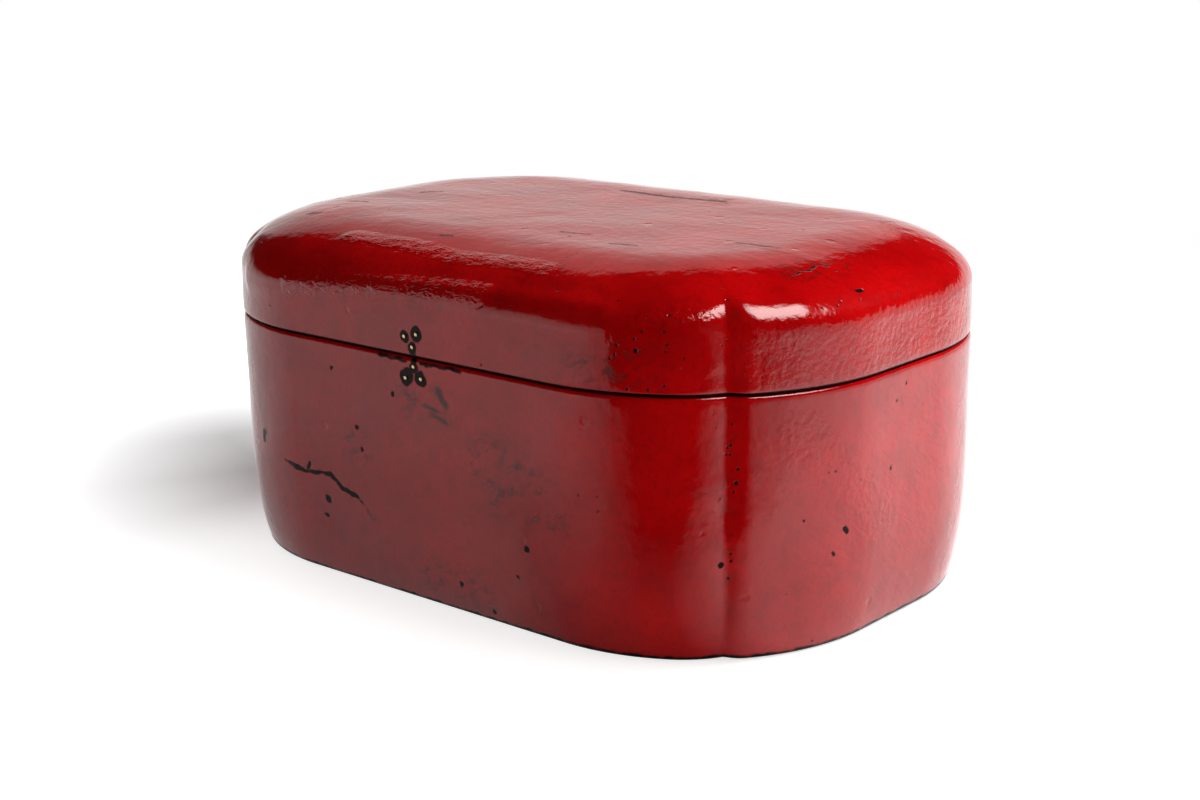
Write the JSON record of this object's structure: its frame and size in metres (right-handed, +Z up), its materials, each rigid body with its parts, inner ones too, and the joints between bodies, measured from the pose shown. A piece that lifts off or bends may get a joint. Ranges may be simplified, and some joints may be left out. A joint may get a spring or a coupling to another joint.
{
  "type": "lacquer box",
  "caption": "Oblong lacquered wooden box with rounded, grooved corners, a crowned lid hinged at the back, a lipped mouth, a let-in base board and the bare nails of a front clasp.",
  "frame": {"origin": "middle of the underside, where the box rests", "axes": "+X to the right along the box as seen from the clasp side, +Y to the back where the hinges are, +Z up"},
  "size_m": [0.36, 0.2519, 0.166],
  "materials": {
    "red_lacquer": "glossy red lacquer over dark under-lacquer on a wooden core, worn and crazed",
    "dark_lacquer": "satin dark brown lacquer on wood",
    "bamboo": "bare split bamboo",
    "aged_brass": "dulled, browned brass"
  },
  "bodies": {
    "case": {"case_wall": "red_lacquer", "base_board": "dark_lacquer", "mouth_lip": "dark_lacquer", "base_peg_1": "bamboo", "base_peg_2": "bamboo", "base_peg_3": "bamboo", "base_peg_4": "bamboo", "base_peg_5": "bamboo", "base_peg_6": "bamboo", "base_peg_7": "bamboo", "base_peg_8": "bamboo", "clasp_nail_case_upper": "aged_brass", "clasp_nail_case_left": "aged_brass", "clasp_nail_case_right": "aged_brass", "hinge_left_pin": "aged_brass", "hinge_left_case_leaf": "aged_brass", "hinge_left_case_nail_inner": "aged_brass", "hinge_left_case_nail_left": "aged_brass", "hinge_left_case_nail_right": "aged_brass", "hinge_right_pin": "aged_brass", "hinge_right_case_leaf": "aged_brass", "hinge_right_case_nail_inner": "aged_brass", "hinge_right_case_nail_left": "aged_brass", "hinge_right_case_nail_right": "aged_brass"},
    "lid": {"lid_rim": "red_lacquer", "lid_crown": "red_lacquer", "clasp_nail_lid_left": "aged_brass", "clasp_nail_lid_right": "aged_brass", "clasp_nail_lid_lower": "aged_brass", "hinge_left_lid_leaf": "aged_brass", "hinge_left_lid_nail_inner": "aged_brass", "hinge_left_lid_nail_left": "aged_brass", "hinge_left_lid_nail_right": "aged_brass", "hinge_right_lid_leaf": "aged_brass", "hinge_right_lid_nail_inner": "aged_brass", "hinge_right_lid_nail_left": "aged_brass", "hinge_right_lid_nail_right": "aged_brass"}
  },
  "joints": [
    {"name": "lid_hinge", "type": "hinge", "parent": "case", "child": "lid", "pos_m": [0, 0.1259, 0.1167], "axis": [-1, 0, 0], "range_deg": [0, 180]}
  ]
}
